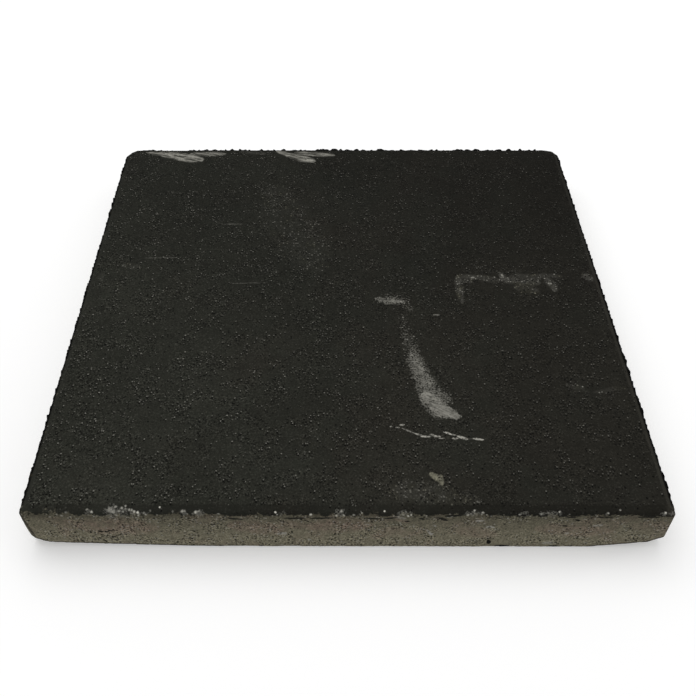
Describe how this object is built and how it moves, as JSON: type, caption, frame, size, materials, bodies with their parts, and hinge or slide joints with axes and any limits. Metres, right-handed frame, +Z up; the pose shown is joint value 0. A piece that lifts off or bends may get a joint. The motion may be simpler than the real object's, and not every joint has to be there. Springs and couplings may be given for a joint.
{
  "type": "concrete paving slab",
  "caption": "Square pressed concrete paving slab with a dark walking face, a bevelled rim and knocked corners, for laying on a bed of sand.",
  "frame": {"origin": "centre of the underside, on the level that the slab rests on", "axes": "+Z up towards the walking face, +X along the front edge, +Y from the front edge to the back one"},
  "size_m": [0.5, 0.5, 0.05],
  "materials": {
    "concrete": "matte"
  },
  "bodies": {
    "root": {"slab": "concrete"}
  },
  "joints": []
}
